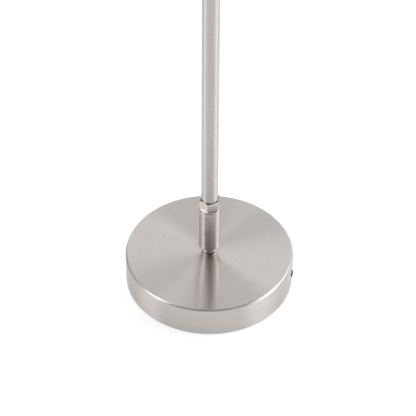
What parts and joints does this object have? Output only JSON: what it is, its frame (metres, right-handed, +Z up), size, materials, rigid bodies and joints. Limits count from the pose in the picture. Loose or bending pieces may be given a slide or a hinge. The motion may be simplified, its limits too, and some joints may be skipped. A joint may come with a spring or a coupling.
{
  "type": "torchiere floor lamp",
  "caption": "Tall floor lamp with a heavy round base, a clamping sleeve with a hexagon lock nut, a tube pole with a rotary dimmer and an open glass bowl that lights upward.",
  "frame": {"origin": "on the floor at the centre of the base, between the foot pads", "axes": "+Z up along the pole, +X towards the cord inlet, -Y towards the dimmer knob"},
  "size_m": [0.3737, 0.3736, 1.7994],
  "materials": {
    "satin_nickel": "satin brushed nickel, spun or drawn",
    "polished_nickel": "polished nickel",
    "cast_iron": "rough sand casting",
    "black_steel": "matt black paint",
    "zinc_steel": "bright zinc plate",
    "black_rubber": "matt",
    "nylon": "natural nylon",
    "white_plastic": "moulded",
    "wire_pvc": "round PVC cable",
    "blue_plastic": "moulded",
    "brass": "bright",
    "porcelain": "glazed white porcelain",
    "silicone": "white silicone",
    "opal_glass": "etched opal glass",
    "bulb_glass": "frosted white",
    "cap_metal": "bright"
  },
  "bodies": {
    "base": {"base_cover": "satin_nickel", "base_weight": "cast_iron", "base_plate": "black_steel", "foot_pads": "black_rubber", "plate_screws": "zinc_steel", "cord_gland": "black_rubber", "terminal_block": "white_plastic", "terminal_screws": "brass", "base_wire": "wire_pvc", "base_stud": "zinc_steel", "stud_washer": "zinc_steel", "stud_nut": "zinc_steel", "foot_washer": "polished_nickel", "neck_ring": "black_rubber", "neck_spacer": "polished_nickel", "clamp_sleeve": "polished_nickel"},
    "collet": {"clamp_collet": "nylon"},
    "nut": {"lock_nut": "polished_nickel"},
    "slip": {"slip_plug": "nylon"},
    "pole": {"lower_tube": "satin_nickel", "tube_coupler": "zinc_steel", "joint_ring": "polished_nickel", "middle_tube": "satin_nickel", "middle_plug": "zinc_steel", "lower_wire": "wire_pvc", "dimmer_housing": "satin_nickel", "housing_cap": "satin_nickel", "housing_nuts": "zinc_steel", "dimmer_module": "blue_plastic", "bushing_nut": "zinc_steel", "upper_plug": "zinc_steel", "upper_tube": "satin_nickel", "upper_wire": "wire_pvc", "head_plug": "zinc_steel", "head_collar": "polished_nickel", "set_screw": "zinc_steel", "nipple": "zinc_steel", "glass_holder": "satin_nickel", "holder_washer": "zinc_steel", "holder_nut": "brass", "glass_gasket": "silicone", "socket_body": "porcelain", "socket_liner": "brass", "socket_contact": "brass"},
    "knob": {"dimmer_shaft": "brass", "dimmer_knob": "polished_nickel"},
    "bowl": {"glass_bowl": "opal_glass"},
    "bulb": {"bulb_cap": "cap_metal", "bulb_globe": "bulb_glass", "bulb_contact": "brass"}
  },
  "joints": [
    {"name": "nut_rise", "type": "slide", "parent": "base", "child": "collet", "axis": [0, 0, 1], "range_m": [0, 0.00225]},
    {"name": "nut_turn", "type": "hinge", "parent": "collet", "child": "nut", "pos_m": [0, 0, 0.1405], "axis": [0, 0, 1], "range_deg": [0, 540]},
    {"name": "pole_lift", "type": "slide", "parent": "base", "child": "slip", "axis": [0, 0, 1], "range_m": [0, 0.03]},
    {"name": "pole_swivel", "type": "hinge", "parent": "slip", "child": "pole", "pos_m": [0, 0, 0.0761], "axis": [0, 0, 1], "range_deg": [-170, 170]},
    {"name": "dimmer_turn", "type": "hinge", "parent": "pole", "child": "knob", "pos_m": [0, -0.02, 1.2371], "axis": [0, -1, 0], "range_deg": [-300, 0]},
    {"name": "bowl_lift_off", "type": "slide", "parent": "pole", "child": "bowl", "axis": [0, 0, 1], "range_m": [0, 0.08]},
    {"name": "bulb_unscrew", "type": "slide", "parent": "pole", "child": "bulb", "axis": [0, 0, 1], "range_m": [0, 0.03]}
  ],
  "couplings": [
    {"joint": "nut_rise", "follows": "nut_turn", "m_per_rad": 0.00023873}
  ]
}
